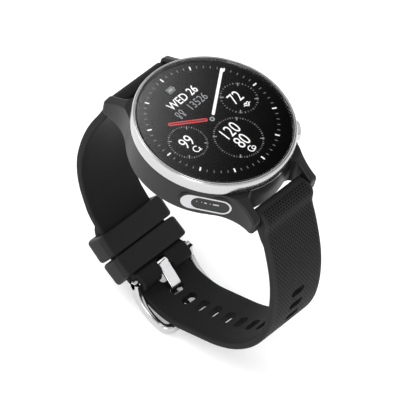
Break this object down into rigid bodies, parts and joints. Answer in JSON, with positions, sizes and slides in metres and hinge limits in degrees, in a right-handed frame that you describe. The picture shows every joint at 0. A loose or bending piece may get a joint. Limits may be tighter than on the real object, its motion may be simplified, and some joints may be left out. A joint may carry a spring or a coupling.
{
  "type": "gps running watch",
  "caption": "Round sports wristwatch with a steel bezel, lit dial, finger sensor, push buttons and a rubber strap with keepers, buckled shut.",
  "frame": {"origin": "centre of the outer face of the back sensor window, the face that rests on the wrist", "axes": "+Z out of the dial, +Y towards 12 o'clock, +X towards 3 o'clock"},
  "size_m": [0.047, 0.0766, 0.0807],
  "materials": {
    "adhesive": "matt",
    "battery_foil": "satin foil",
    "bezel_metal": "satin with polished edges",
    "board_green": "satin",
    "case_metal": "satin anodised",
    "chip_black": "matt",
    "clear_glass": "polished",
    "contact_gold": "polished",
    "cover_plastic": "fine matt",
    "display_black": "gloss",
    "flex_film": "gloss",
    "inner_plastic": "matt",
    "keeper_black": "satin",
    "led_clear": "gloss",
    "motor_steel": "satin",
    "polished_metal": "polished",
    "seal_rubber": "matt",
    "sensor_glass": "polished",
    "shield_steel": "satin",
    "spring_steel": "satin",
    "strap_black": "matt"
  },
  "bodies": {
    "case": {"mid_case": "case_metal", "bezel": "bezel_metal", "cover_glass": "clear_glass", "display_panel": "display_black", "bezel_gasket": "seal_rubber", "glass_adhesive": "adhesive", "display_flex": "flex_film", "chassis": "inner_plastic", "antenna_ring": "shield_steel", "main_board": "board_green", "board_shield": "shield_steel", "processor_chip": "chip_black", "gps_receiver": "shield_steel", "board_chips": "chip_black", "battery": "battery_foil", "vibration_motor": "motor_steel", "back_cover": "cover_plastic", "back_gasket": "seal_rubber", "case_screws": "spring_steel", "back_window": "sensor_glass", "back_electrodes": "polished_metal", "sensor_board": "board_green", "sensor_leds": "led_clear", "light_detectors": "chip_black", "light_barrier": "inner_plastic", "charging_pins": "contact_gold", "finger_electrode": "polished_metal", "finger_window": "sensor_glass", "finger_module": "led_clear", "finger_gasket": "seal_rubber", "button_springs": "spring_steel", "tact_switches": "inner_plastic"},
    "upper_button": {"button_upper": "polished_metal", "button_upper_seal": "seal_rubber", "button_upper_clip": "spring_steel"},
    "lower_button": {"button_lower": "polished_metal", "button_lower_seal": "seal_rubber", "button_lower_clip": "spring_steel"},
    "buckle_strap": {"strap_buckle_side": "strap_black", "keeper_fixed": "keeper_black", "buckle_bar": "polished_metal", "spring_bar_12": "spring_steel", "spring_bar_12_spring": "spring_steel"},
    "hole_strap": {"strap_hole_side": "strap_black", "spring_bar_6": "spring_steel", "spring_bar_6_spring": "spring_steel"},
    "sliding_keeper": {"keeper_free": "keeper_black"},
    "buckle": {"buckle_frame": "polished_metal"},
    "tang": {"buckle_tang": "polished_metal"},
    "release_12": {"release_pin_12": "spring_steel"},
    "release_6": {"release_pin_6": "spring_steel"}
  },
  "joints": [
    {"name": "upper_button_press", "type": "slide", "parent": "case", "child": "upper_button", "axis": [-0.829, -0.5592, 0], "range_m": [0, 0.0005], "stiffness_N_per_m": 1500, "springref_m": -0.0005},
    {"name": "lower_button_press", "type": "slide", "parent": "case", "child": "lower_button", "axis": [-0.829, 0.5592, 0], "range_m": [0, 0.0005], "stiffness_N_per_m": 1500, "springref_m": -0.0005},
    {"name": "hole_strap_swing", "type": "hinge", "parent": "case", "child": "hole_strap", "pos_m": [0, -0.02575, 0.0042], "axis": [1, 0, 0], "range_deg": [-0.13, 0.2]},
    {"name": "buckle_strap_swing", "type": "hinge", "parent": "case", "child": "buckle_strap", "pos_m": [0, 0.02575, 0.0042], "axis": [1, 0, 0], "range_deg": [-0.07, 0.07]},
    {"name": "keeper_slide", "type": "hinge", "parent": "buckle_strap", "child": "sliding_keeper", "pos_m": [0, -0.0136, 0.0042], "axis": [1, 0, 0], "range_deg": [-0.3, 3.5]},
    {"name": "buckle_tilt", "type": "hinge", "parent": "buckle_strap", "child": "buckle", "pos_m": [0, 0.0058, -0.05658], "axis": [1, 0, 0], "range_deg": [-0.6, 1.2]},
    {"name": "tang_tilt", "type": "hinge", "parent": "buckle_strap", "child": "tang", "pos_m": [0, 0.0058, -0.05658], "axis": [1, 0, 0], "range_deg": [-0.6, 1.2]},
    {"name": "release_12_slide", "type": "slide", "parent": "buckle_strap", "child": "release_12", "axis": [-1, 0, 0], "range_m": [0, 0.0013], "stiffness_N_per_m": 400, "springref_m": -0.001},
    {"name": "release_6_slide", "type": "slide", "parent": "hole_strap", "child": "release_6", "axis": [-1, 0, 0], "range_m": [0, 0.0013], "stiffness_N_per_m": 400, "springref_m": -0.001}
  ],
  "couplings": [
    {"joint": "buckle_strap_swing", "follows": "hole_strap_swing", "ratio": -0.30877},
    {"joint": "tang_tilt", "follows": "buckle_tilt", "ratio": 1}
  ]
}
